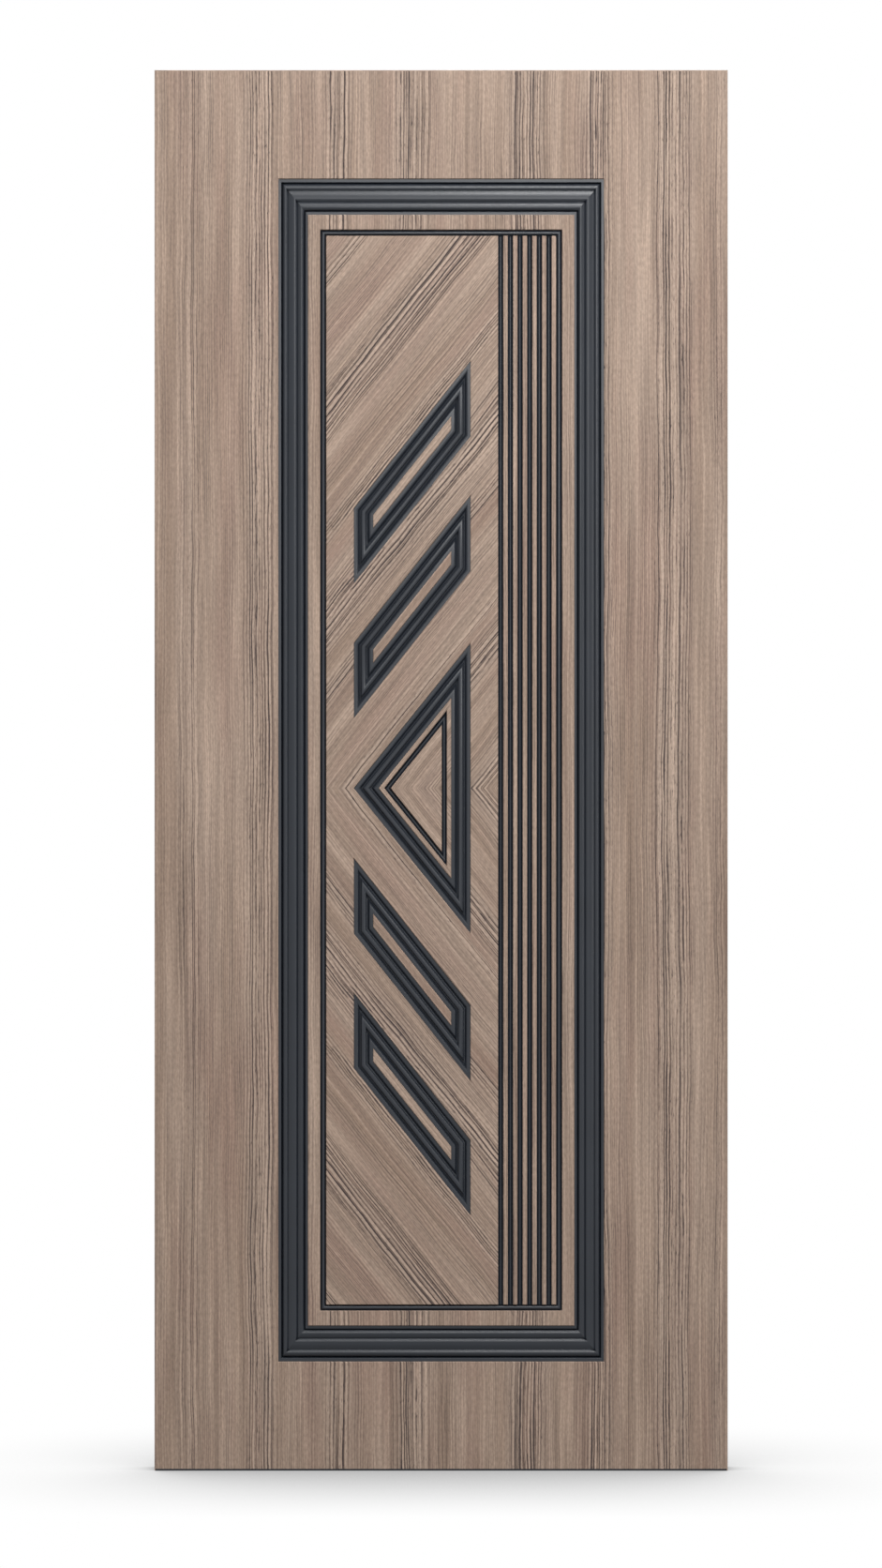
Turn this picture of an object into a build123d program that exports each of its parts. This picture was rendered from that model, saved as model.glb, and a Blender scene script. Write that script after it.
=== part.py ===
import os
from math import radians, tan

from build123d import *

# Leaf
LEAF_WIDTH = 860.0
LEAF_HEIGHT = 2100.0
LEAF_THICKNESS = 44.0
FACE_LAYER = 10.0
SIDE_BAND = 1.5
TOP_BAND = 1.5
BOTTOM_BAND = 2.5
BAND_ROUND = 1.0
EASED_EDGE = 0.8

# Rectangular moulding let into the facing
RAIL_HEIGHT = 163.0
SIDE_MOULDING = 44.5
END_MOULDING = 54.0

# Border and bead frame inside it
SIDE_BORDER = 18.3
END_BORDER = 22.5
FRAME_BEAD = 9.0

# Reeded strip on the lock side
REED_COUNT = 6
REED_BEAD = 7.8
SLAT_WIDTH = 6.7

# Chevron panel
PANEL_WIDTH = 258.0
CHEVRON_DROP = 27.0
MOTIF_WIDTH = 175.0
MOTIF_MOULDING = 29.0
LOZENGE_ANGLE = 51.6
LOZENGE_SIDE = 113.0
LOZENGE_GAP = 89.0
TRIANGLE_ANGLE = 51.2
TRIANGLE_GAP = 105.0
TRIANGLE_BORDER = 6.5
TRIANGLE_BEAD = 7.6

# Moulding profiles, as drops below the leaf's face and widths across a side length
LIP_DROP = 3.0
VALLEY_DROP = 8.0
CREST_DROP = 1.6
OUTER_LIP = 4.2
OUTER_QUIRK = 2.2
FIRST_REED = 8.2
SECOND_REED = 13.8
INNER_QUIRK = 2.0
INNER_LIP = 3.9
REED_STEP = 2.8
REED_FALL = 2.5
REED_BULGE = 0.8
MOTIF_LIP = 5.2
MOTIF_SLOPE = 1.4
MOTIF_QUIRK = 3.4
MOTIF_BULGE = 4.4
BEAD_FLOOR_DROP = 4.2
BEAD_CREST_DROP = 1.5
BEAD_QUIRK = 1.6

# Derived places, x across the leaf from the hinge edge and z up from the bottom
core_thickness = LEAF_THICKNESS - 2 * FACE_LAYER
field_left = SIDE_BAND
field_right = LEAF_WIDTH - SIDE_BAND
field_bottom = BOTTOM_BAND
field_top = LEAF_HEIGHT - TOP_BAND
reed_pitch = REED_BEAD + SLAT_WIDTH
inlay_side = SIDE_MOULDING + SIDE_BORDER + FRAME_BEAD
inlay_width = 2 * inlay_side + PANEL_WIDTH + REED_COUNT * reed_pitch
mould_left = (LEAF_WIDTH - inlay_width) / 2
mould_right = mould_left + inlay_width
mould_bottom = RAIL_HEIGHT
mould_top = LEAF_HEIGHT - RAIL_HEIGHT
ring_left = mould_left + SIDE_MOULDING
ring_right = mould_right - SIDE_MOULDING
ring_bottom = mould_bottom + END_MOULDING
ring_top = mould_top - END_MOULDING
bead_left = ring_left + SIDE_BORDER
bead_right = ring_right - SIDE_BORDER
bead_bottom = ring_bottom + END_BORDER
bead_top = ring_top - END_BORDER
inner_left = bead_left + FRAME_BEAD
inner_right = bead_right - FRAME_BEAD
inner_bottom = bead_bottom + FRAME_BEAD
inner_top = bead_top - FRAME_BEAD
panel_right = inner_left + PANEL_WIDTH
chevron_z = LEAF_HEIGHT / 2 - CHEVRON_DROP
motif_left = inner_left + (PANEL_WIDTH - MOTIF_WIDTH) / 2
motif_right = motif_left + MOTIF_WIDTH
lozenge_rise = MOTIF_WIDTH * tan(radians(LOZENGE_ANGLE))
triangle_half = MOTIF_WIDTH * tan(radians(TRIANGLE_ANGLE))
lip = FACE_LAYER - LIP_DROP
valley = FACE_LAYER - VALLEY_DROP
crest = FACE_LAYER - CREST_DROP
bead_floor = FACE_LAYER - BEAD_FLOOR_DROP
bead_crest = FACE_LAYER - BEAD_CREST_DROP

# Workplane on the core's front side, local x across, local y up, outwards to the viewer
front = Plane(origin=(0, -core_thickness / 2, 0), x_dir=(1, 0, 0), z_dir=(0, -1, 0))


def box_corners(left, bottom, right, top):
    return [(left, bottom), (right, bottom), (right, top), (left, top)]


def lozenge_corners(foot, side):
    # foot is the low left corner's height over the chevron axis, side is 1 above it and -1 below
    low = foot
    high = foot + LOZENGE_SIDE
    heights = [(motif_left, low), (motif_right, low + lozenge_rise)]
    heights += [(motif_right, high + lozenge_rise), (motif_left, high)]
    return [(x, chevron_z + side * z) for x, z in heights]


def cross_plane(start, end):
    # Plane across a run, its x pointing to the left of the run and its y out of the face
    along = Vector(end[0] - start[0], 0, end[1] - start[1]).normalized()
    middle = front.from_local_coords(((start[0] + end[0]) / 2, (start[1] + end[1]) / 2, 0))
    inward = front.z_dir.cross(along)
    return Plane(origin=middle, x_dir=inward, z_dir=inward.cross(front.z_dir))


def stepped_profile(width):
    # Lip, three lapped reeds that rise inwards and fall steeply, then the inner lip
    # An end length is the side length's profile stretched, so that the steps meet on the mitre
    stretch = width / SIDE_MOULDING
    quirk = OUTER_LIP * stretch
    first = quirk + OUTER_QUIRK * stretch
    second = first + FIRST_REED * stretch
    third = second + SECOND_REED * stretch
    inner_lip = width - INNER_LIP * stretch
    last = inner_lip - INNER_QUIRK * stretch
    fall = REED_FALL * stretch
    step = crest - REED_STEP
    Polyline((first, step), (first, valley), (quirk, valley), (quirk, lip), (0, lip), (0, 0), (width, 0))
    Polyline((width, 0), (width, lip), (inner_lip, lip), (inner_lip, valley), (last, valley), (last, step))
    for low, high in ((first, second), (second, third), (third, last)):
        SagittaArc((low, step), (high - fall, crest), REED_BULGE)
        Line((high - fall, crest), (high, step))


def motif_profile(width):
    # Lip, wide deep quirk, round bead, quirk and lip
    slope = MOTIF_LIP + MOTIF_SLOPE
    near = slope + MOTIF_QUIRK
    far = width - near
    far_slope = width - slope
    far_lip = width - MOTIF_LIP
    shoulder = crest - MOTIF_BULGE
    Polyline((0, 0), (0, lip), (MOTIF_LIP, lip), (slope, valley), (near, valley), (near, shoulder))
    ThreePointArc((near, shoulder), (width / 2, crest), (far, shoulder))
    Polyline((far, shoulder), (far, valley), (far_slope, valley), (far_lip, lip), (width, lip))
    Polyline((width, lip), (width, 0), (0, 0))


def bead_profile(width):
    # Quirk, narrow half round and quirk
    far = width - BEAD_QUIRK
    Polyline((BEAD_QUIRK, bead_floor), (0, bead_floor), (0, 0), (width, 0), (width, bead_floor))
    Line((width, bead_floor), (far, bead_floor))
    ThreePointArc((BEAD_QUIRK, bead_floor), (width / 2, bead_crest), (far, bead_floor))


def mitred_length(start, end, inner_start, inner_end, width, profile):
    # One straight length, its outer side from start to end, cut at both mitres
    across = cross_plane(start, end)
    reach = (Vector(*end) - Vector(*start)).length
    with BuildPart() as length:
        with BuildSketch(across):
            with BuildLine():
                profile(width)
            make_face()
        extrude(amount=reach, both=True)
        for near, far, keep_point in ((start, inner_start, end), (end, inner_end, start)):
            a = front.from_local_coords((near[0], near[1], 0))
            b = front.from_local_coords((far[0], far[1], 0))
            cut = Plane(origin=a, x_dir=b - a, z_dir=(b - a).cross(front.z_dir))
            side = cut.to_local_coords(front.from_local_coords((keep_point[0], keep_point[1], 0)))
            split(bisect_by=cut, keep=Keep.TOP if side.Z > 0 else Keep.BOTTOM)
    return length.part


def inset_corners(corners, amount):
    # Corners of the same outline set in on every side
    with BuildSketch() as outline:
        Polygon(*corners, align=None)
        offset(amount=-amount, kind=Kind.INTERSECTION)
    points = [(v.X, v.Y) for v in outline.vertices()]
    return [min(points, key=lambda p: inset_distance(p, corners, i)) for i in range(len(corners))]


def inset_distance(point, corners, index):
    # Distance along the corner's bisector counts far less than distance off it
    here = Vector(*corners[index])
    before = (Vector(*corners[index - 1]) - here).normalized()
    after = (Vector(*corners[(index + 1) % len(corners)]) - here).normalized()
    bisector = (before + after).normalized()
    gap = Vector(*point) - here
    along = gap.dot(bisector)
    return (gap - bisector * along).length + (0 if along > 0 else 1e6)


def mitred_ring(corners, width, profile):
    # Closed ring of mitred lengths, joined at the mitres
    inner = inset_corners(corners, width)
    count = len(corners)
    with BuildPart() as ring:
        for i in range(count):
            j = (i + 1) % count
            add(mitred_length(corners[i], corners[j], inner[i], inner[j], width, profile))
    return ring.part


pieces = {}

# Core slab between the four edge bands
with BuildPart() as core:
    with BuildSketch(Plane.XZ):
        Polygon(*box_corners(field_left, field_bottom, field_right, field_top), align=None)
    extrude(amount=core_thickness / 2, both=True)
pieces["core"] = core.part

# Edge bands, the two upright ones full height, the others between them
bands = {
    "hinge_edge_band": (0, 0, SIDE_BAND, LEAF_HEIGHT, Axis.X, 0),
    "lock_edge_band": (field_right, 0, LEAF_WIDTH, LEAF_HEIGHT, Axis.X, -1),
    "top_edge_band": (field_left, field_top, field_right, LEAF_HEIGHT, Axis.Z, -1),
    "bottom_edge_band": (field_left, 0, field_right, field_bottom, Axis.Z, 0),
}
for name, (left, bottom, right, top, axis, outer) in bands.items():
    with BuildPart() as band:
        with BuildSketch(Plane.XZ):
            Polygon(*box_corners(left, bottom, right, top), align=None)
        extrude(amount=LEAF_THICKNESS / 2, both=True)
        outside = band.faces().sort_by(axis)[outer]
        run = Axis.Z if axis == Axis.X else Axis.X
        fillet(outside.edges().filter_by(run), BAND_ROUND)
    pieces[name] = band.part

face_pieces = {}

# Facing sheet with the opening that the inlaid work sits in
with BuildPart() as facing:
    with BuildSketch(front):
        Polygon(*box_corners(field_left, field_bottom, field_right, field_top), align=None)
        opening = box_corners(mould_left, mould_bottom, mould_right, mould_top)
        Polygon(*opening, align=None, mode=Mode.SUBTRACT)
    extrude(amount=FACE_LAYER)
    show = facing.faces().sort_by(Axis.Y)[0]
    chamfer(show.inner_wires()[0].edges(), EASED_EDGE)
face_pieces["facing"] = facing.part

# Stepped rectangular moulding, four lengths mitred from outer to inner corner
outer_box = box_corners(mould_left, mould_bottom, mould_right, mould_top)
inner_box = box_corners(ring_left, ring_bottom, ring_right, ring_top)
sides = ("moulding_bottom", "moulding_lock_side", "moulding_top", "moulding_hinge_side")
widths = (END_MOULDING, SIDE_MOULDING, END_MOULDING, SIDE_MOULDING)
for i, name in enumerate(sides):
    j = (i + 1) % 4
    corners = (outer_box[i], outer_box[j], inner_box[i], inner_box[j])
    face_pieces[name] = mitred_length(*corners, widths[i], stepped_profile)

# Border ring of the facing's own decor
with BuildPart() as border:
    with BuildSketch(front):
        Polygon(*inner_box, align=None)
        Polygon(*box_corners(bead_left, bead_bottom, bead_right, bead_top), align=None, mode=Mode.SUBTRACT)
    extrude(amount=FACE_LAYER)
    show = border.faces().sort_by(Axis.Y)[0]
    chamfer(show.edges(), EASED_EDGE)
face_pieces["border"] = border.part

# Bead frame round the inner field
bead_box = box_corners(bead_left, bead_bottom, bead_right, bead_top)
face_pieces["bead_frame"] = mitred_ring(bead_box, FRAME_BEAD, bead_profile)

# Reed beads and the slats between them
with BuildPart() as beads:
    for i in range(REED_COUNT):
        x = panel_right + i * reed_pitch
        with BuildSketch(cross_plane((x + REED_BEAD, inner_bottom), (x + REED_BEAD, inner_top))):
            with BuildLine():
                bead_profile(REED_BEAD)
            make_face()
    extrude(amount=(inner_top - inner_bottom) / 2, both=True)
face_pieces["reed_beads"] = beads.part

with BuildPart() as slats:
    with BuildSketch(front):
        for i in range(REED_COUNT):
            x = panel_right + REED_BEAD + i * reed_pitch
            Polygon(*box_corners(x, inner_bottom, x + SLAT_WIDTH, inner_top), align=None)
    extrude(amount=FACE_LAYER)
    chamfer(slats.faces().group_by(Axis.Y)[0].edges(), EASED_EDGE)
face_pieces["reed_slats"] = slats.part

# Outlines of the motifs above and below the chevron axis
foot_inner = TRIANGLE_GAP
foot_outer = foot_inner + LOZENGE_SIDE + LOZENGE_GAP
lozenges = {
    "lozenge_1": lozenge_corners(foot_outer, 1),
    "lozenge_2": lozenge_corners(foot_inner, 1),
    "lozenge_3": lozenge_corners(foot_inner, -1)[::-1],
    "lozenge_4": lozenge_corners(foot_outer, -1)[::-1],
}
triangle_foot = (motif_right, chevron_z - triangle_half)
triangle_head = (motif_right, chevron_z + triangle_half)
triangle = [(motif_left, chevron_z), triangle_foot, triangle_head]

# Chevron panels, cut out for the motifs and butted on the axis
halves = {"panel_upper": (chevron_z, inner_top), "panel_lower": (inner_bottom, chevron_z)}
for name, (low, high) in halves.items():
    with BuildPart() as panel:
        with BuildSketch(front):
            Polygon(*box_corners(inner_left, low, panel_right, high), align=None)
            for outline in (*lozenges.values(), triangle):
                Polygon(*outline, align=None, mode=Mode.SUBTRACT)
        extrude(amount=FACE_LAYER)
        show = panel.faces().sort_by(Axis.Y)[0]
        chamfer([e for e in show.edges() if abs(e.center().Z - chevron_z) > 1e-3], EASED_EDGE)
    face_pieces[name] = panel.part

# Lozenge mouldings and the wood strips inside them
for name, outline in lozenges.items():
    face_pieces[name + "_moulding"] = mitred_ring(outline, MOTIF_MOULDING, motif_profile)

with BuildPart() as infills:
    with BuildSketch(front):
        for outline in lozenges.values():
            Polygon(*inset_corners(outline, MOTIF_MOULDING), align=None)
    extrude(amount=FACE_LAYER)
    chamfer(infills.faces().group_by(Axis.Y)[0].edges(), EASED_EDGE)
face_pieces["lozenge_infills"] = infills.part

# Triangle: moulding, wood ring, bead and infill, each inside the one before
ring_outline = inset_corners(triangle, MOTIF_MOULDING)
bead_outline = inset_corners(ring_outline, TRIANGLE_BORDER)
fill_outline = inset_corners(bead_outline, TRIANGLE_BEAD)
face_pieces["triangle_moulding"] = mitred_ring(triangle, MOTIF_MOULDING, motif_profile)

with BuildPart() as tri_border:
    with BuildSketch(front):
        Polygon(*ring_outline, align=None)
        Polygon(*bead_outline, align=None, mode=Mode.SUBTRACT)
    extrude(amount=FACE_LAYER)
    chamfer(tri_border.faces().sort_by(Axis.Y)[0].edges(), EASED_EDGE)
face_pieces["triangle_border"] = tri_border.part

face_pieces["triangle_bead"] = mitred_ring(bead_outline, TRIANGLE_BEAD, bead_profile)

with BuildPart() as tri_infill:
    with BuildSketch(front):
        Polygon(*fill_outline, align=None)
    extrude(amount=FACE_LAYER)
    chamfer(tri_infill.faces().sort_by(Axis.Y)[0].edges(), EASED_EDGE)
face_pieces["triangle_infill"] = tri_infill.part

# The other face is the same work, mirrored in the leaf's middle plane
for name, part in face_pieces.items():
    with BuildPart() as back:
        mirror(part, about=Plane.XZ)
    pieces["front_" + name] = part
    pieces["back_" + name] = back.part

os.makedirs("parts", exist_ok=True)
for name, part in pieces.items():
    part.label = name
    export_step(part, "parts/" + name + ".step")
    print(name, len(part.solids()), round(part.volume))
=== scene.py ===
# %% [markdown]
# # A composite door leaf with inlaid mouldings
# The leaf is a flat core with a layer of inlaid work on each face: wood decor boards, and dark
# mouldings let in between them. The measured model already holds every board at its true size, so
# this lesson keeps the boards, gives them a wood finish, and models the dark mouldings again with
# finer curves than the measured model has.

# %% Load the measured model
import math

import bpy
from mathutils import Matrix, Vector


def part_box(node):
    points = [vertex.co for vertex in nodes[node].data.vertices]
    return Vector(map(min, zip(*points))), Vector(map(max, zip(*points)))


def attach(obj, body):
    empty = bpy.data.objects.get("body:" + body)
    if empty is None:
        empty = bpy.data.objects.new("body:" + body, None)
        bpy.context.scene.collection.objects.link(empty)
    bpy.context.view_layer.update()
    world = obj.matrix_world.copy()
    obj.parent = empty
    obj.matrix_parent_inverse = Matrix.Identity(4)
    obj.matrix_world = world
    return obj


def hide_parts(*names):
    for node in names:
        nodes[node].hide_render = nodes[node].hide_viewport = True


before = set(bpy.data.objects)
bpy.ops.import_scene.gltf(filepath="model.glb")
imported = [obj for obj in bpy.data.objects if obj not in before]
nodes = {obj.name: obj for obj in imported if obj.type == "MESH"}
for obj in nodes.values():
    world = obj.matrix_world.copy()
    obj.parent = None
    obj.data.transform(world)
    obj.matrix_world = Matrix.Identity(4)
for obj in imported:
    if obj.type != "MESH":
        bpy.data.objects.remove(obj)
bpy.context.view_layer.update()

# %% [markdown]
# ## Sizes
# A joiner works from a rod, a full-size drawing with every position marked on it. Here the measured
# model is the rod: it is asked for the boxes of its pieces, and most positions follow from them. A
# size that no box can tell is written in millimetres where it is first needed.

# %% Sizes of the inlaid work
MM = 0.001
core_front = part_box("core")[0][1]
face_low, face_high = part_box("front_facing")
layer = core_front - face_low[1]
moulding_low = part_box("front_moulding_bottom")[0]
moulding_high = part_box("front_moulding_top")[1]
border_low, border_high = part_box("front_border")
bead_low, bead_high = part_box("front_bead_frame")
panel_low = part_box("front_panel_lower")[0]
motif_low, motif_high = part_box("front_triangle_moulding")
chevron_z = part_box("front_panel_upper")[0][2]
print("face layer", round(layer / MM, 2), "mm; chevron axis at", round(chevron_z / MM, 1), "mm")

# %% [markdown]
# ## Moulding profiles
# A moulding is one cross-section carried along a line. The wide frame has a flat lip, a narrow
# groove that joiners call a quirk, three lapped reeds that rise gently towards the panel and fall
# away steeply, a second quirk and a second lip. The motifs have a broad bead between two quirks and
# two lips, and the thin lines are a half-round bead in a groove. Each outline is a list of points:
# the distance across the moulding and the height over the core. A quirk could have a flat floor,
# but a floor would shine back at a lamp, so the wide mouldings' quirks end in a V and stay dark.

# %% Round parts of an outline
CORNER_STEPS = 4


def arch(start, end, rise, steps):
    """Points of a circular arc from start to end that stands rise above the line between them."""
    start, end = Vector(start), Vector(end)
    chord = end - start
    radius = (chord.length_squared / 4 + rise * rise) / (2 * rise)
    up = Vector((-chord.y, chord.x)).normalized()
    centre = (start + end) / 2 + up * (rise - radius)
    spoke = start - centre
    sweep = spoke.angle_signed(end - centre)
    points = []
    for i in range(steps + 1):
        turn = Matrix.Rotation(-sweep * i / steps, 2)
        points.append(tuple(centre + turn @ spoke))
    return points


def softened(outline, rounds):
    """The outline with a round on each listed corner; rounds gives a corner's number its reach."""
    result = []
    for i, point in enumerate(outline):
        if i not in rounds:
            result.append(point)
            continue
        here, following = Vector(point), Vector(outline[(i + 1) % len(outline)])
        before = here + (Vector(outline[i - 1]) - here).normalized() * rounds[i]
        after = here + (following - here).normalized() * rounds[i]
        for k in range(CORNER_STEPS + 1):
            t = k / CORNER_STEPS
            result.append(tuple(before * (1 - t) ** 2 + here * 2 * t * (1 - t) + after * t**2))
    return result


print("each round corner gets", CORNER_STEPS + 1, "points")

# %% Outline of the wide frame moulding
LIP_DROP, VALLEY_DROP, CREST_DROP = 3.0 * MM, 8.0 * MM, 1.6 * MM
lip, valley, crest = layer - LIP_DROP, layer - VALLEY_DROP, layer - CREST_DROP
ARRIS, NOSE = 0.5 * MM, 1.9 * MM
SIDE_WIDTH, OUTER_LIP, INNER_LIP = 44.5 * MM, 4.2 * MM, 3.9 * MM
# Each reed's start and nose across the side moulding; its fall ends where the next reed starts
REEDS = ((6.4 * MM, 12.1 * MM), (14.6 * MM, 25.9 * MM), (28.4 * MM, 36.1 * MM))
LAST_FOOT = 38.6 * MM
REED_STEP, REED_BULGE, REED_ARC_STEPS = 2.8 * MM, 0.8 * MM, 8


def frame_outline(width):
    """The stepped frame moulding, stretched to its width so that its steps meet on the mitre."""
    stretch = width / SIDE_WIDTH
    foot = crest - REED_STEP
    quirk, inner_lip = OUTER_LIP * stretch, width - INNER_LIP * stretch
    first, last = REEDS[0][0] * stretch, LAST_FOOT * stretch
    points = [(0, 0), (0, lip), (quirk, lip), ((quirk + first) / 2, valley)]
    rounds = {2: ARRIS}
    for start, nose in REEDS:
        begin, end = (start * stretch, foot), (nose * stretch, crest)
        points += arch(begin, end, REED_BULGE, REED_ARC_STEPS)
        rounds[len(points) - 1] = NOSE
    points += [(last, foot), ((last + inner_lip) / 2, valley)]
    points += [(inner_lip, lip), (width, lip), (width, 0)]
    rounds[len(points) - 3] = ARRIS
    return softened(points, rounds)


print("the frame's outline has", len(frame_outline(SIDE_WIDTH)), "points")

# %% Outlines of the motif moulding and the thin bead
MOTIF_WIDTH, MOTIF_LIP, MOTIF_SLOPE, MOTIF_QUIRK = 29.0 * MM, 5.2 * MM, 1.4 * MM, 3.4 * MM
MOTIF_FLOOR, MOTIF_BULGE, MOTIF_ARC_STEPS = 1.1 * MM, 4.4 * MM, 18
BEAD_FLOOR_DROP, BEAD_CREST_DROP = 4.2 * MM, 1.5 * MM
bead_floor, bead_crest = layer - BEAD_FLOOR_DROP, layer - BEAD_CREST_DROP
BEAD_QUIRK, BEAD_SINK, BEAD_ARC_STEPS = 1.6 * MM, 1.2 * MM, 12


def motif_outline(width):
    """A round bead between two wide quirks and two lips, the same from both sides."""
    slope, shoulder = MOTIF_LIP + MOTIF_SLOPE, crest - MOTIF_BULGE
    near = slope + MOTIF_QUIRK
    half = [(0, 0), (0, lip), (MOTIF_LIP, lip), ((slope + near) / 2, valley + MOTIF_FLOOR)]
    bead = arch((near, shoulder), (width - near, shoulder), MOTIF_BULGE, MOTIF_ARC_STEPS)
    points = half + bead + [(width - across, high) for across, high in reversed(half)]
    return softened(points, {2: NOSE, len(points) - 3: NOSE})


def bead_outline(width):
    """A half-round bead between two quirks that slope down to it."""
    far, sunk = width - BEAD_QUIRK, bead_floor - BEAD_SINK
    points = [(0, 0), (0, bead_floor), (BEAD_QUIRK, sunk)]
    rise = bead_crest - bead_floor
    points += arch((BEAD_QUIRK, bead_floor), (far, bead_floor), rise, BEAD_ARC_STEPS)
    points += [(far, sunk), (width, bead_floor), (width, 0)]
    return points


print("the motifs' outline has", len(motif_outline(MOTIF_WIDTH)), "points")

# %% [markdown]
# ## From outline to stick
# A moulding comes from the mill as a long straight stick. A plane is merged to a single vertex,
# which is pulled from point to point round the outline. The loop is filled, and the face is pulled
# out to the stick's length. The outline could also be swept along its finished path, but a stick
# that is cut at its mitres keeps the corners crisp and shows how the real one is fitted.

# %% Make a stick
SPARE = 10 * MM


def only(obj):
    """Leave just this object selected and active."""
    bpy.ops.object.select_all(action="DESELECT")
    obj.select_set(True)
    bpy.context.view_layer.objects.active = obj


def make_stick(name, outline, length):
    """A straight stick along X with this outline across Y and up Z."""
    bpy.ops.object.select_all(action="DESELECT")
    start = (-SPARE, outline[0][0], outline[0][1])
    bpy.ops.mesh.primitive_plane_add(size=MM, location=start)
    stick = bpy.context.object
    stick.name = name
    bpy.ops.object.transform_apply(location=True, rotation=True, scale=True)
    bpy.ops.object.mode_set(mode="EDIT")
    bpy.ops.mesh.select_all(action="SELECT")
    bpy.ops.mesh.merge(type="CENTER")
    for (u, v), (next_u, next_v) in zip(outline, outline[1:]):
        pull = (0, next_u - u, next_v - v)
        bpy.ops.mesh.extrude_vertices_move(TRANSFORM_OT_translate={"value": pull})
    bpy.ops.mesh.select_all(action="SELECT")
    bpy.ops.mesh.edge_face_add()
    pull = (length + 2 * SPARE, 0, 0)
    bpy.ops.mesh.extrude_region_move(TRANSFORM_OT_translate={"value": pull})
    bpy.ops.mesh.select_all(action="SELECT")
    bpy.ops.mesh.normals_make_consistent(inside=False)
    bpy.ops.object.mode_set(mode="OBJECT")
    print(name, "with", len(outline), "points round it,", round(length, 3), "m long")
    return stick


print("a stick has", round(SPARE / MM), "mm to spare at each end")

# %% [markdown]
# ## Cut and fit
# Each length is a copy of its stick, turned to lie along its run with its outer side on the line,
# and cut at both ends on the mitre, the line from the outer corner to the inner one. The bisect
# tool makes that cut. A ring is its lengths joined and merged at the mitres.

# %% Lay a length and cut its mitres
OUT = Vector((0, -1, 0))


def flat(point):
    """A point of the face, given as across and up, on the core's front."""
    return Vector((point[0], core_front, point[1]))


def cut_length(stick, start, end, inner_start, inner_end, capped):
    """A copy of the stick from start to end, both ends cut on their mitres."""
    only(stick)
    bpy.ops.object.duplicate()
    piece = bpy.context.object
    piece.data = piece.data.copy()
    along = (flat(end) - flat(start)).normalized()
    inward = OUT.cross(along)
    lie = Matrix((along, inward, OUT)).transposed().to_4x4()
    lie.translation = flat(start)
    piece.matrix_world = lie
    bpy.ops.object.transform_apply(location=True, rotation=True, scale=True)
    bpy.ops.object.mode_set(mode="EDIT")
    for corner, inner, away in ((start, inner_start, -along), (end, inner_end, along)):
        across = (flat(inner) - flat(corner)).cross(OUT).normalized()
        across = across if across.dot(away) > 0 else -across
        cut = {"plane_co": flat(corner), "plane_no": across, "clear_outer": True}
        bpy.ops.mesh.select_all(action="SELECT")
        bpy.ops.mesh.bisect(**cut, use_fill=capped)
    bpy.ops.mesh.select_all(action="SELECT")
    bpy.ops.mesh.normals_make_consistent(inside=False)
    bpy.ops.object.mode_set(mode="OBJECT")
    return piece


print("lengths lie on the core's front, at y", round(core_front / MM, 2), "mm")

# %% Inset corners and closed rings
MERGE_REACH = 0.03 * MM


def inset(corners, width):
    """The corners moved in by width from every side; they run anticlockwise."""
    moved = []
    for i, corner in enumerate(corners):
        here = Vector(corner)
        arrive = (here - Vector(corners[i - 1])).normalized()
        leave = (Vector(corners[(i + 1) % len(corners)]) - here).normalized()
        left_arrive, left_leave = Vector((-arrive.y, arrive.x)), Vector((-leave.y, leave.x))
        step = (left_arrive + left_leave) / (1 + left_arrive.dot(left_leave))
        moved.append(tuple(here + step * width))
    return moved


def make_ring(stick, corners, width):
    """A closed ring of lengths, merged at the mitres."""
    inner = inset(corners, width)
    lengths = []
    for i, corner in enumerate(corners):
        j = (i + 1) % len(corners)
        lengths.append(cut_length(stick, corner, corners[j], inner[i], inner[j], capped=False))
    only(lengths[0])
    for length in lengths:
        length.select_set(True)
    bpy.ops.object.join()
    ring = bpy.context.object
    bpy.ops.object.mode_set(mode="EDIT")
    bpy.ops.mesh.select_all(action="SELECT")
    bpy.ops.mesh.remove_doubles(threshold=MERGE_REACH)
    bpy.ops.mesh.normals_make_consistent(inside=False)
    bpy.ops.object.mode_set(mode="OBJECT")
    return ring


print("mitres are merged within", MERGE_REACH / MM, "mm")

# %% [markdown]
# ## Both faces
# The back of the leaf is the front's mirror image in the middle plane. So each finished piece is
# copied, flipped through that plane and has its faces turned the right way out again. Both copies
# then stand for the measured model's coarser nodes. They are shaded smooth where their faces meet
# at a small angle, so that a round looks round and a quirk stays sharp.

# %% Fit a piece on both faces
SMOOTH_ANGLE = 28
dark_pieces = []


def fit_both_faces(piece, node_name):
    """The piece and its mirror image take the places of the front and back nodes."""
    only(piece)
    bpy.ops.object.duplicate()
    twin = bpy.context.object
    twin.data = twin.data.copy()
    twin.scale.y = -1
    bpy.ops.object.transform_apply(location=True, rotation=True, scale=True)
    bpy.ops.object.mode_set(mode="EDIT")
    bpy.ops.mesh.select_all(action="SELECT")
    bpy.ops.mesh.normals_make_consistent(inside=False)
    bpy.ops.object.mode_set(mode="OBJECT")
    for side, fitted in (("front", piece), ("back", twin)):
        fitted.name = side + "_lacquered_" + node_name
        only(fitted)
        bpy.ops.object.shade_smooth_by_angle(angle=math.radians(SMOOTH_ANGLE))
        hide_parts(side + "_" + node_name)
        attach(fitted, "root")
        dark_pieces.append(fitted)
    print(node_name, "fitted twice,", len(piece.data.polygons), "faces each")


print("shaded smooth up to", SMOOTH_ANGLE, "degrees")

# %% [markdown]
# ## The wide frame moulding
# Four lengths are mitred round the opening in the facing. The top and bottom ones are wider than
# the side ones, so the mitres don't run at 45 degrees but from outer corner to inner corner, as on
# the real leaf.

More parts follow.
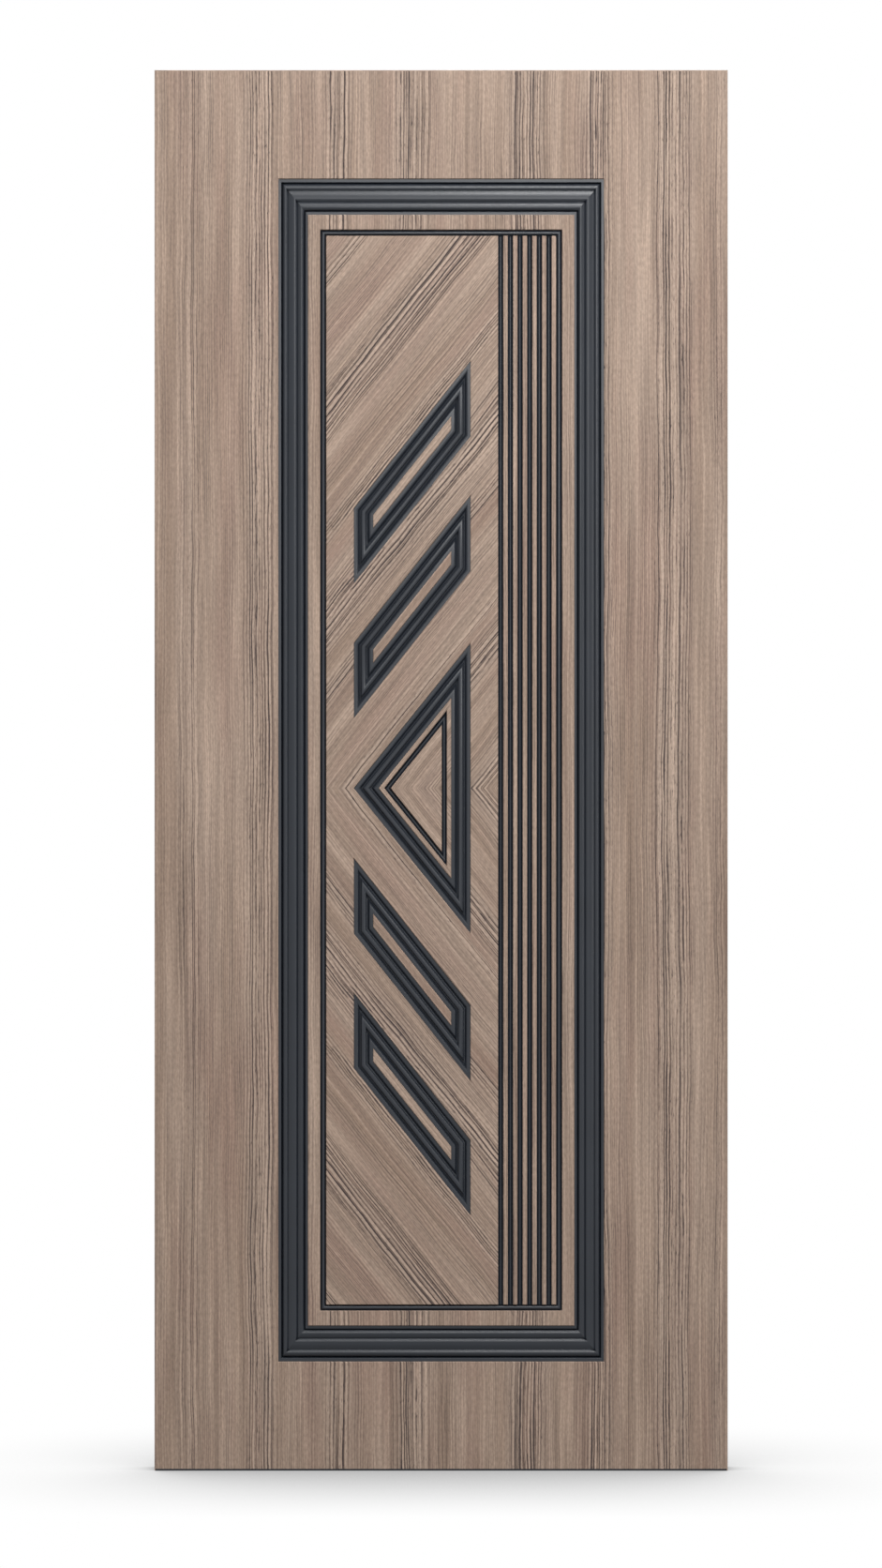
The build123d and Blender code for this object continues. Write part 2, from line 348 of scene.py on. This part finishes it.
# %% Fit the frame moulding
def corners_of(low, high):
    """Corners of an upright rectangle on the face, anticlockwise from the low left one."""
    return [(low[0], low[2]), (high[0], low[2]), (high[0], high[2]), (low[0], high[2])]


outer, inner = corners_of(moulding_low, moulding_high), corners_of(border_low, border_high)
end_width = inner[0][1] - outer[0][1]
side_stick = make_stick("side_stick", frame_outline(SIDE_WIDTH), outer[2][1] - outer[1][1])
end_stick = make_stick("end_stick", frame_outline(end_width), outer[1][0] - outer[0][0])
runs = {"bottom": end_stick, "lock_side": side_stick, "top": end_stick, "hinge_side": side_stick}
for i, (where, stick) in enumerate(runs.items()):
    j = (i + 1) % len(runs)
    length = cut_length(stick, outer[i], outer[j], inner[i], inner[j], capped=True)
    fit_both_faces(length, "moulding_" + where)

# %% [markdown]
# ## The bead frame and the reeds
# A thin beaded line runs round the inner field, and six more beads stand side by side on the lock
# side with wood slats between them. A bead is the same half round throughout, a little narrower in
# the reeds.

# %% Fit the bead frame
frame_bead = panel_low[0] - bead_low[0]
bead_stick = make_stick("bead_stick", bead_outline(frame_bead), bead_high[2] - bead_low[2])
fit_both_faces(make_ring(bead_stick, corners_of(bead_low, bead_high), frame_bead), "bead_frame")

# %% Fit the reed beads
REED_COUNT, REED_BEAD = 6, 7.8 * MM
reed_low, reed_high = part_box("front_reed_beads")
reed_pitch = (reed_high[0] - reed_low[0] - REED_BEAD) / (REED_COUNT - 1)
reed_stick = make_stick("reed_stick", bead_outline(REED_BEAD), reed_high[2] - reed_low[2])
reeds = []
for i in range(REED_COUNT):
    left = reed_low[0] + i * reed_pitch
    right = left + REED_BEAD
    foot, head = (right, reed_low[2]), (right, reed_high[2])
    reeds.append(cut_length(reed_stick, foot, head, (left, foot[1]), (left, head[1]), capped=True))
only(reeds[0])
for reed in reeds:
    reed.select_set(True)
bpy.ops.object.join()
fit_both_faces(bpy.context.object, "reed_beads")

# %% [markdown]
# ## The motifs
# Two parallelograms stand above the chevron axis and two below, mirrored, with a triangle on the
# axis between them. Their corners come from the measured boxes: an upper parallelogram fills its
# box from the low left to the high right corner, and a lower one from the high left to the low
# right.

# %% Fit the parallelograms
LOZENGE_SIDE = 113.0 * MM
motif_stick = make_stick("motif_stick", motif_outline(MOTIF_WIDTH), motif_high[2] - motif_low[2])
for number in (1, 2, 3, 4):
    low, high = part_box("front_lozenge_%d_moulding" % number)
    if low[2] > chevron_z:
        corners = [(low[0], low[2]), (high[0], high[2] - LOZENGE_SIDE)]
        corners += [(high[0], high[2]), (low[0], low[2] + LOZENGE_SIDE)]
    else:
        corners = [(low[0], high[2] - LOZENGE_SIDE), (high[0], low[2])]
        corners += [(high[0], low[2] + LOZENGE_SIDE), (low[0], high[2])]
    fit_both_faces(make_ring(motif_stick, corners, MOTIF_WIDTH), "lozenge_%d_moulding" % number)

# %% Fit the triangle and its bead
TRIANGLE_BEAD = 7.6 * MM


def triangle_of(low, high):
    """Corners of a triangle on the chevron axis, anticlockwise from its left tip."""
    return [(low[0], chevron_z), (high[0], low[2]), (high[0], high[2])]


triangle = triangle_of(motif_low, motif_high)
fit_both_faces(make_ring(motif_stick, triangle, MOTIF_WIDTH), "triangle_moulding")
low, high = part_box("front_triangle_bead")
line_stick = make_stick("line_stick", bead_outline(TRIANGLE_BEAD), high[2] - low[2])
fit_both_faces(make_ring(line_stick, triangle_of(low, high), TRIANGLE_BEAD), "triangle_bead")

# %% Clear away the sticks
for stick in (side_stick, end_stick, bead_stick, reed_stick, motif_stick, line_stick):
    bpy.data.objects.remove(stick, do_unlink=True)
print("dark pieces fitted:", len(dark_pieces))

# %% [markdown]
# ## Building finishes from nodes
# Each finish is a small network of nodes. One helper adds a node, sets it, links or fills its
# inputs and hands back an output, so that a network reads like a recipe. An input goes by its name
# or its number: of a Map Range node, 0 is the value, 1 and 2 the range it comes in, and 3 and 4 the
# range it goes out in; a range that isn't set runs from 0 to 1. Colours are written as they are on
# a colour card, in sRGB, and turned to the linear values that the renderer counts in.

# %% Node helper and colours
def colour(card):
    """A linear colour from an sRGB hex value."""
    parts = [int(card[i : i + 2], 16) / 255 for i in (1, 3, 5)]
    linear = [p / 12.92 if p <= 0.04045 else ((p + 0.055) / 1.055) ** 2.4 for p in parts]
    return (*linear, 1)


def node(tree, kind, inputs=None, out=0, **settings):
    """Add a node with its settings, its inputs linked or filled, and give back one output."""
    new = tree.nodes.new("ShaderNode" + kind)
    for key, value in settings.items():
        setattr(new, key, value)
    for key, value in (inputs or {}).items():
        if isinstance(value, bpy.types.NodeSocket):
            tree.links.new(value, new.inputs[key])
        else:
            new.inputs[key].default_value = value
    return new.outputs[out] if new.outputs else new


def new_finish(name):
    """A material with an empty node tree."""
    material = bpy.data.materials.new(name)
    material.use_nodes = True
    material.node_tree.nodes.clear()
    return material, material.node_tree


print("mid greige in linear values:", [round(c, 3) for c in colour("#a49283")[:3]])

# %% [markdown]
# ## Which way the grain runs
# The boards carry a grey-brown softwood decor, pressed with its grain into a matt film. Its pattern
# needs just two distances: across the grain and along it. On the facing, the border and the slats
# the grain stands upright, and on the top edge it lies level. In the chevron panels and the motifs
# it climbs at an angle from the axis, upwards above it and downwards below it, like a book opened
# on the axis. Folding the height at the axis and turning the place with a Mapping node gives that
# book match.

# %% Distances across and along the grain
GRAIN_ANGLE = 51.5
# Moves the place, so that a pattern starts at the leaf's face, its middle or the panels' axis
PATTERN_SHIFT = {
    "upright": (0, -face_low[1], 0),
    "level": (0, 0, 0),
    "chevron": (-panel_low[0], 0, -chevron_z),
}


def grain_of(tree, run):
    """Distances across and along the grain, in metres. run is upright, chevron or level."""
    place = node(tree, "TexCoord", out="Object")
    place = node(tree, "Mapping", {"Vector": place, "Location": PATTERN_SHIFT[run]})
    if run == "chevron":
        folded = node(tree, "VectorMath", {0: place}, operation="ABSOLUTE")
        turn = (0, math.radians(GRAIN_ANGLE - 90), 0)
        place = node(tree, "Mapping", {"Vector": folded, "Rotation": turn})
    x, y, z = node(tree, "SeparateXYZ", {"Vector": place}).node.outputs
    if run == "level":
        return y, x
    if run == "chevron":
        return x, z
    return node(tree, "Math", {0: x, 1: y}, operation="ADD"), z


def streaks(tree, across, along, wide, long, detail=2.0):
    """Noise drawn out along the grain; wide and long are the size of one streak."""
    spread = node(tree, "CombineXYZ", {"X": across, "Y": along})
    drawn = node(tree, "Mapping", {"Vector": spread, "Scale": (1 / wide, 1 / long, 1)})
    noise = {"Vector": drawn, "Scale": 1.0, "Detail": detail}
    return node(tree, "TexNoise", noise, noise_dimensions="2D")


print("chevron grain at", GRAIN_ANGLE, "degrees from level")

# %% [markdown]
# ## Growth lines
# Dark growth lines crowd into bands, with plain wood between them. The bands stand where the board
# was cut, so they are listed: the middle and half width in millimetres, and how strong the lines
# get. The slats, the motifs' infills and the edge are cut from calmer boards with few lines.
# A Wave texture could draw the lines, but evenly. One Voronoi texture in one dimension sets them at
# uneven spacings, and its random colour gives each line a width and depth of its own. A growth line
# wanders, fades and returns, and some break up into dashes.

# %% Bands where the lines crowd
UPRIGHT_BANDS = (
    (52, 26, 0.35), (158, 32, 1.0), (274, 26, 1.0), (386, 40, 0.9),
    (560, 40, 0.95), (667, 26, 1.0), (778, 40, 1.0), (846, 14, 0.3),
)
CHEVRON_BANDS = (
    (-478, 16, 0.7), (-350, 42, 1.0), (-237, 16, 1.0), (-150, 46, 1.0), (-90, 20, 0.8),
    (22, 12, 0.7), (60, 32, 1.0), (178, 18, 0.8),
)
SLAT_BANDS = ((536, 12, 0.3), (590, 14, 0.35))
MOTIF_BANDS = ((-140, 20, 0.25), (120, 30, 0.3))
EDGE_BANDS = ((0, 14, 0.5),)
BAND_MARGIN, BAND_GAIN = 10, 1.7
NO_LINES = (0, 0, 0, 1)


def crowding(tree, across, bands):
    """How much the growth lines crowd at a distance across the grain, from 0 to 1."""
    first = (bands[0][0] - bands[0][1] - BAND_MARGIN) * MM
    last = (bands[-1][0] + bands[-1][1] + BAND_MARGIN) * MM
    share = node(tree, "MapRange", {0: across, 1: first, 2: last})
    ramp = node(tree, "ValToRGB", {0: share}).node
    ramp.color_ramp.interpolation = "EASE"
    for stop in ramp.color_ramp.elements:
        stop.color = NO_LINES
    for middle, half, strength in bands:
        for where, height in ((middle - half, 0), (middle, strength), (middle + half, 0)):
            stop = ramp.color_ramp.elements.new((where * MM - first) / (last - first))
            stop.color = (height, height, height, 1)
    gain = {0: ramp.outputs[0], 1: BAND_GAIN}
    return node(tree, "Math", gain, operation="MULTIPLY", use_clamp=True)


print("bands:", len(UPRIGHT_BANDS), "upright,", len(CHEVRON_BANDS), "in the chevrons")

# %% Lines along the grain
# Distance between lines, and how far along the grain one fades or breaks into a dash
RINGS = (4.0 * MM, 200 * MM, 40 * MM)
FIBRES = (2.6 * MM, 120 * MM, 30 * MM)
STRIP_SPREAD, WHOLE_SHARE = 40.0, 0.7
THIN_LINE, THICK_LINE, LINE_CORE = 0.18, 0.46, 0.25


def grain_lines(tree, across, along, spacing, fade_length, dash_length):
    """Uneven lines along the grain, from 0 to 1, and each point's distance to the nearest one."""
    place = node(tree, "Math", {0: across, 1: 1 / spacing}, operation="MULTIPLY")
    uneven = {"W": place, "Scale": 1.0, "Randomness": 1.0}
    ring = node(tree, "TexVoronoi", uneven, voronoi_dimensions="1D").node
    far = ring.outputs["Distance"]
    depth, width, broken = node(tree, "SeparateColor", {0: ring.outputs["Color"]}).node.outputs
    # Each line reads its own strip of noise, so that it swells and fades without its neighbours
    strip = node(tree, "Math", {0: depth, 1: STRIP_SPREAD}, operation="MULTIPLY")
    swell = streaks(tree, strip, along, 1.0, fade_length, 3.0)
    half = node(tree, "MapRange", {0: width, 3: THIN_LINE, 4: THICK_LINE})
    swollen = node(tree, "MapRange", {0: swell, 1: 0.3, 2: 0.7, 3: 0.6, 4: 1.25})
    half = node(tree, "Math", {0: half, 1: swollen}, operation="MULTIPLY")
    reach = node(tree, "Math", {0: far, 1: half}, operation="DIVIDE")
    edge = {0: reach, 1: LINE_CORE, 2: 1.0, 3: 1.0, 4: 0.0}
    line = node(tree, "MapRange", edge, interpolation_type="SMOOTHSTEP")
    own = node(tree, "MapRange", {0: depth, 3: 0.55, 4: 1.0})
    fade = node(tree, "MapRange", {0: swell, 1: 0.32, 2: 0.55, 3: 0.45, 4: 1.0})
    dash = streaks(tree, strip, along, 0.7, dash_length, 4.0)
    dash = node(tree, "MapRange", {0: dash, 1: 0.4, 2: 0.56, 3: 0.15, 4: 1.0})
    whole = node(tree, "Math", {0: broken, 1: WHOLE_SHARE}, operation="LESS_THAN")
    dash = node(tree, "Math", {0: dash, 1: whole}, operation="MAXIMUM")
    for part in (own, fade, dash):
        line = node(tree, "Math", {0: line, 1: part}, operation="MULTIPLY")
    return line, far


print("growth lines about", RINGS[0] / MM, "mm apart, fibres", FIBRES[0] / MM, "mm")

# %% [markdown]
# ## The marks of the wood
# On top of the growth lines come faint fibres everywhere, in stronger and weaker zones, and short
# dark pores, most of them where the lines crowd. All lines wander a few millimetres in long waves
# and a little in short ripples. The fibres and pores are drawn coarser than real ones, so that they
# show at this size.

# %% Draw the marks
# Width and length of one streak of each
WAVES, RIPPLES = (160 * MM, 420 * MM), (22 * MM, 75 * MM)
FIBRE_ZONES, PORES = (30 * MM, 500 * MM), (1.3 * MM, 11 * MM)
WAVE_SWAY, RIPPLE_SWAY = 3 * MM, 1 * MM
FIBRES_WEAK, FIBRES_STRONG = 0.1, 0.56
PORES_FAINT, PORES_DARK = 0.16, 0.65


def wood_marks(tree, across, along, bands):
    """Dark marks from 0 to 1, the swayed distance across, the crowding and the lines' distances."""
    waves = streaks(tree, across, along, *WAVES, 1.0)
    waves = node(tree, "MapRange", {0: waves, 1: 0.2, 2: 0.8, 3: -WAVE_SWAY, 4: WAVE_SWAY})
    ripples = streaks(tree, across, along, *RIPPLES, 1.0)
    ripples = node(tree, "MapRange", {0: ripples, 1: 0.2, 2: 0.8, 3: -RIPPLE_SWAY, 4: RIPPLE_SWAY})
    swayed = node(tree, "Math", {0: across, 1: waves}, operation="ADD")
    wander = node(tree, "Math", {0: swayed, 1: ripples}, operation="ADD")
    crowd = crowding(tree, swayed, bands)
    rings, from_ring = grain_lines(tree, wander, along, *RINGS)
    rings = node(tree, "Math", {0: rings, 1: crowd}, operation="MULTIPLY")
    fibres, from_fibre = grain_lines(tree, wander, along, *FIBRES)
    zone = streaks(tree, across, along, *FIBRE_ZONES)
    zone = node(tree, "MapRange", {0: zone, 1: 0.35, 2: 0.65, 3: FIBRES_WEAK, 4: FIBRES_STRONG})
    fibres = node(tree, "Math", {0: fibres, 1: zone}, operation="MULTIPLY")
    pores = streaks(tree, wander, along, *PORES, 1.0)
    pores = node(tree, "MapRange", {0: pores, 1: 0.66, 2: 0.8, 3: 0.0, 4: 1.0})
    depth = node(tree, "MapRange", {0: crowd, 3: PORES_FAINT, 4: PORES_DARK})
    pores = node(tree, "Math", {0: pores, 1: depth}, operation="MULTIPLY")
    marks = node(tree, "Math", {0: rings, 1: fibres}, operation="ADD")
    marks = node(tree, "Math", {0: marks, 1: pores}, operation="ADD", use_clamp=True)
    return marks, wander, crowd, from_ring, from_fibre


print("lines wander up to", round((WAVE_SWAY + RIPPLE_SWAY) / MM), "mm to each side")

# %% [markdown]
# ## The tones of the wood
# Under the marks the board changes slowly between two greiges, with rosy streaks here and there.
# The wood between two crowded lines is paler, partly as early wood is and partly as a painted
# highlight on the lit flanks of the pressed lines, and the wood between faint fibres is a little
# paler too, as the same painted highlight. A fine mottle and a veil of narrow streaks make the tone
# uneven, so that no part of the board is one flat colour.

# %% Mix the tones
# The last of these tones is the paler wood between lines: early wood, and in part a painted
# highlight
WOOD_PALE, WOOD_DEEP, WOOD_ROSY, WOOD_EARLY_AND_HIGHLIGHT = "#b59e8d", "#967f6e", "#967a6c", "#c0a998"
TONES, BLUSH = (32 * MM, 700 * MM), (45 * MM, 380 * MM)
MOTTLE, VEIL = (2.6 * MM, 7 * MM), (8 * MM, 240 * MM)
MOST_ROSY, MOST_EARLY_AND_HIGHLIGHT, MOST_BETWEEN_FIBRES = 0.6, 0.8, 0.3


def wood_tones(tree, across, along, wander, crowd, from_ring, from_fibre):
    """The board's colour before its marks are drawn on it."""
    mixed = {"out": "Result", "data_type": "RGBA"}
    tone = streaks(tree, across, along, *TONES, 3.0)
    tone = node(tree, "MapRange", {0: tone, 1: 0.25, 2: 0.75})
    greiges = {"A": colour(WOOD_DEEP), "B": colour(WOOD_PALE)}
    board = node(tree, "Mix", {0: tone, **greiges}, **mixed)
    blush = streaks(tree, across, along, *BLUSH)
    blush = node(tree, "MapRange", {0: blush, 1: 0.45, 2: 0.75, 3: 0.0, 4: MOST_ROSY})
    board = node(tree, "Mix", {0: blush, "A": board, "B": colour(WOOD_ROSY)}, **mixed)
    # Painted highlight in part: paler wood midway between crowded lines (early wood) and between
    # fibres, standing in for the lit flanks of the pressed lines
    early_and_highlight = node(tree, "MapRange", {0: from_ring, 1: 0.2, 2: 0.45, 3: 0.0, 4: MOST_EARLY_AND_HIGHLIGHT})
    early_and_highlight = node(tree, "Math", {0: early_and_highlight, 1: crowd}, operation="MULTIPLY")
    between = {0: from_fibre, 1: 0.2, 2: 0.6, 3: 0.0, 4: MOST_BETWEEN_FIBRES}
    light = node(tree, "MapRange", between)
    early_and_highlight = node(tree, "Math", {0: early_and_highlight, 1: light}, operation="MAXIMUM")
    board = node(tree, "Mix", {0: early_and_highlight, "A": board, "B": colour(WOOD_EARLY_AND_HIGHLIGHT)}, **mixed)
    mottle = streaks(tree, across, along, *MOTTLE, 3.0)
    mottle = node(tree, "MapRange", {0: mottle, 1: 0.25, 2: 0.75, 3: 0.86, 4: 1.18})
    veil = streaks(tree, wander, along, *VEIL, 3.0)
    veil = node(tree, "MapRange", {0: veil, 1: 0.25, 2: 0.75, 3: 0.8, 4: 1.15})
    mottle = node(tree, "Math", {0: mottle, 1: veil}, operation="MULTIPLY")
    return node(tree, "VectorMath", {0: board, "Scale": mottle}, operation="SCALE")


print("board tones:", WOOD_PALE, WOOD_DEEP, WOOD_ROSY, WOOD_EARLY_AND_HIGHLIGHT)

# %% [markdown]
# ## The whole wood finish
# The marks are drawn over the tones. They also press a little into the surface, which a Bump node
# shows, and are rougher than the plain wood. The film is matt, so it gives the eye a broad, weak
# sheen and no clear highlight.

# %% Mix the wood finish
WOOD_LINE = "#34292a"
PRESS_STRENGTH, PRESS_DEPTH = 0.4, 0.3 * MM
PLAIN_ROUGHNESS, MARK_ROUGHNESS = 0.56, 0.7


def wood_finish(name, run, bands):
    """Pressed softwood decor: matt, grey brown, with dark growth lines in bands."""
    material, tree = new_finish(name)
    across, along = grain_of(tree, run)
    marks, *lines = wood_marks(tree, across, along, bands)
    board = wood_tones(tree, across, along, *lines)
    layers = {0: marks, "A": board, "B": colour(WOOD_LINE)}
    drawn = node(tree, "Mix", layers, "Result", data_type="RGBA")
    pressed = node(tree, "Math", {0: 1.0, 1: marks}, operation="SUBTRACT")
    press = {"Height": pressed, "Strength": PRESS_STRENGTH, "Distance": PRESS_DEPTH}
    relief = node(tree, "Bump", press)
    rough = node(tree, "MapRange", {0: marks, 3: PLAIN_ROUGHNESS, 4: MARK_ROUGHNESS})
    skin = {"Base Color": drawn, "Roughness": rough, "Normal": relief}
    shader = node(tree, "BsdfPrincipled", {**skin, "IOR": 1.48, "Specular IOR Level": 0.4})
    node(tree, "OutputMaterial", {"Surface": shader})
    print(name, "with", len(tree.nodes), "nodes")
    return material


upright_wood = wood_finish("Pressed_pine_decor_upright", "upright", UPRIGHT_BANDS)
chevron_wood = wood_finish("Pressed_pine_decor_chevron", "chevron", CHEVRON_BANDS)
slat_wood = wood_finish("Pressed_pine_decor_slats", "upright", SLAT_BANDS)
motif_wood = wood_finish("Pressed_pine_decor_motifs", "chevron", MOTIF_BANDS)
level_wood = wood_finish("Pressed_pine_decor_edge", "level", EDGE_BANDS)

# %% [markdown]
# ## Anthracite lacquer
# The mouldings are milled fibreboard, sprayed with a satin anthracite lacquer. Sprayed lacquer is
# even in colour, with a faint orange-peel ripple and a soft highlight along each round edge. The
# ripple is drawn coarser than a real one, so that it shows at this size.

# %% Mix the lacquer
PEEL_SIZE, PEEL_STRENGTH, PEEL_DEPTH = 2.2 * MM, 0.12, 0.15 * MM
CLOUD_SIZE = 60 * MM
SATIN_LOW, SATIN_HIGH = 0.29, 0.36
lacquer, tree = new_finish("Sprayed_satin_lacquer_anthracite")
place = node(tree, "TexCoord", out="Object")
cloud = node(tree, "TexNoise", {"Vector": place, "Scale": 1 / CLOUD_SIZE, "Detail": 3.0})
tints = {"A": colour("#21252c"), "B": colour("#282d35")}
shade = node(tree, "Mix", {0: cloud, **tints}, "Result", data_type="RGBA")
peel = node(tree, "TexNoise", {"Vector": place, "Scale": 1 / PEEL_SIZE, "Detail": 2.0})
sprayed = {"Height": peel, "Strength": PEEL_STRENGTH, "Distance": PEEL_DEPTH}
ripple = node(tree, "Bump", sprayed)
dull = node(tree, "MapRange", {0: cloud, 3: SATIN_LOW, 4: SATIN_HIGH})
skin = {"Base Color": shade, "Roughness": dull, "Normal": ripple}
shader = node(tree, "BsdfPrincipled", {**skin, "IOR": 1.5, "Specular IOR Level": 0.4})
node(tree, "OutputMaterial", {"Surface": shader})
print("lacquer with", len(tree.nodes), "nodes")

# %% [markdown]
# ## Core board
# The core is pressed composite board, covered on every side. It still gets its own finish, chips
# and dust of two browns with hardly any gloss, in case a cut ever shows it.

# %% Mix the core board
CHIP_SIZE = 4 * MM
core_board, tree = new_finish("Pressed_composite_core_board")
place = node(tree, "TexCoord", out="Object")
chips = node(tree, "TexVoronoi", {"Vector": place, "Scale": 1 / CHIP_SIZE}, "Color")
tints = {"A": colour("#8d7355"), "B": colour("#b59a76")}
shade = node(tree, "Mix", {0: chips, **tints}, "Result", data_type="RGBA")
shader = node(tree, "BsdfPrincipled", {"Base Color": shade, "Roughness": 0.8})
node(tree, "OutputMaterial", {"Surface": shader})
print("core board with", len(tree.nodes), "nodes")

# %% [markdown]
# ## Dressing the pieces
# Every board of the measured model gets the wood whose grain runs its way, and every dark piece the
# lacquer. The bottom edge band is lacquered dark as well, as painted shade: it stands in for the
# shadow line where the leaf meets the floor. The names of the pieces tell which is which, so no
# list of all of them is needed.

# %% Give each piece its finish
CHEVRON_PIECES = ("panel_upper", "panel_lower")
MOTIF_PIECES = ("lozenge_infills", "triangle_border", "triangle_infill")


def finish_for(name):
    """The finish of one measured node, from its name."""
    if name == "core":
        return core_board
    # The bottom edge band is lacquered dark as painted shade, standing in for the shadow line where
    # the leaf meets the floor
    if name == "bottom_edge_band" or "moulding" in name or "bead" in name:
        return lacquer
    if name == "top_edge_band":
        return level_wood
    if name.endswith("reed_slats"):
        return slat_wood
    if name.endswith(MOTIF_PIECES):
        return motif_wood
    return chevron_wood if name.endswith(CHEVRON_PIECES) else upright_wood


def dress(obj, finish):
    """The object with this finish alone."""
    obj.data.materials.clear()
    obj.data.materials.append(finish)


for name, obj in nodes.items():
    dress(obj, finish_for(name))
for piece in dark_pieces:
    dress(piece, lacquer)
print("dressed", len(nodes), "nodes and", len(dark_pieces), "new pieces")

# %% [markdown]
# ## Floor and background
# The leaf stands on a plain white studio floor that runs into a white background. What the camera
# and the reflections see of both is white, and only a painted shadow of the leaf darkens the floor:
# the floor's white glow is dimmed by how much of the room above each spot the leaf hides. The light
# that reaches the leaf comes from the lamps, a dim room and a dull floor, so the white around it
# doesn't wash it out.

# %% What the camera and the reflections see
WHITE = (1, 1, 1, 1)


def seen_directly(tree):
    """1 for what the camera or a reflection sees, 0 for light on its way to the leaf."""
    path = node(tree, "LightPath").node.outputs
    mirror = {0: path["Is Glossy Ray"], 1: path["Is Transmission Ray"]}
    mirror = node(tree, "Math", mirror, operation="MAXIMUM")
    return node(tree, "Math", {0: path["Is Camera Ray"], 1: mirror}, operation="MAXIMUM")


middle = (face_low[0] + face_high[0]) / 2
print("the leaf's middle is at x", round(middle / MM, 1), "mm")

# %% Floor
FLOOR_SIZE, FLOOR_GAP, SHADOW_REACH = 60, 0.4 * MM, 450 * MM
bpy.ops.object.select_all(action="DESELECT")
bpy.ops.mesh.primitive_plane_add(size=FLOOR_SIZE, location=(middle, 0, -FLOOR_GAP))
floor = bpy.context.object
floor.name = "studio_floor"
paint, tree = new_finish("Matt_white_studio_floor")
# Painted shadow: the white glow the camera sees is dimmed by the share of the room above that the
# leaf hides
painted_shadow_mask = node(tree, "AmbientOcclusion", {"Distance": SHADOW_REACH}, "AO")
white = node(tree, "Emission", {"Color": WHITE, "Strength": painted_shadow_mask})
matt = node(tree, "BsdfDiffuse", {"Color": colour("#3c3c3c")})
both = node(tree, "MixShader", {0: seen_directly(tree), 1: matt, 2: white})
node(tree, "OutputMaterial", {0: both})
dress(floor, paint)
print("the floor's shadow reaches", round(SHADOW_REACH / MM), "mm")

# %% Background
ROOM_LIGHT = 0.57
world = bpy.data.worlds.new("studio")
bpy.context.scene.world = world
world.use_nodes = True
tree = world.node_tree
tree.nodes.clear()
strength = node(tree, "MapRange", {0: seen_directly(tree), 3: ROOM_LIGHT, 4: 1.0})
room = node(tree, "Background", {"Color": WHITE, "Strength": strength})
node(tree, "OutputWorld", {0: room})
print("the background is white; the room's light is", ROOM_LIGHT)

# %% [markdown]
# ## Lamps and camera
# Three soft lamps light each face. The high one hangs close and far up, so that the upper sides of
# the steps show light and their falls dark. The front one stands further off, lower than that but
# higher than the camera, and puts a soft line on lips and beads. A weak one at the side does the
# same for the upright mouldings. The back has the same three lamps. The camera looks level at the
# leaf from straight ahead, which keeps its edges parallel, through a long lens.

# %% Lamps
# Each lamp: metres aside of the middle, in front of the leaf and up, width, height, and watts
LAMPS = {
    "high_soft_lamp": (0.6, 2.4, 4.2, 1.2, 0.35, 76),
    "front_soft_lamp": (0.5, 5.5, 2.7, 1.2, 1.0, 80),
    "side_soft_lamp": (3.2, 2.2, 1.5, 0.5, 2.0, 12),
}
LAMP_AIM = 1.05
for side, way in (("front", -1), ("back", 1)):
    for name, (aside, away, height, width, tall, watts) in LAMPS.items():
        bpy.ops.object.select_all(action="DESELECT")
        place = (middle - way * aside, way * away, height)
        bpy.ops.object.light_add(type="AREA", location=place)
        lamp = bpy.context.object
        lamp.name = side + "_" + name
        lamp.data.shape = "RECTANGLE"
        lamp.data.size, lamp.data.size_y = width, tall
        lamp.data.energy = watts
        lamp.visible_camera = False
        aim = Vector((middle, 0, LAMP_AIM)) - lamp.location
        lamp.rotation_euler = aim.to_track_quat("-Z", "Y").to_euler()
        print(lamp.name, round(aim.length, 2), "m from the leaf")

# %% Camera
PHOTO_HEIGHT, MM_PER_PIXEL = 1672, 1.4063
LENS, SENSOR = 70.0, 24.0
# The picture's middle on the leaf's face, in metres
PICTURE_X, PICTURE_Z = 0.4298, 1.0294
LEVEL = (math.pi / 2, 0, 0)
view_height = PHOTO_HEIGHT * MM_PER_PIXEL * MM
distance = view_height * LENS / SENSOR
place = (PICTURE_X, face_low[1] - distance, PICTURE_Z)
bpy.ops.object.camera_add(location=place, rotation=LEVEL)
camera = bpy.context.object
camera.data.sensor_fit = "VERTICAL"
camera.data.sensor_height = SENSOR
camera.data.lens = LENS
bpy.context.scene.camera = camera
bpy.context.scene.view_settings.view_transform = "Standard"
print("camera", round(distance, 2), "m away")
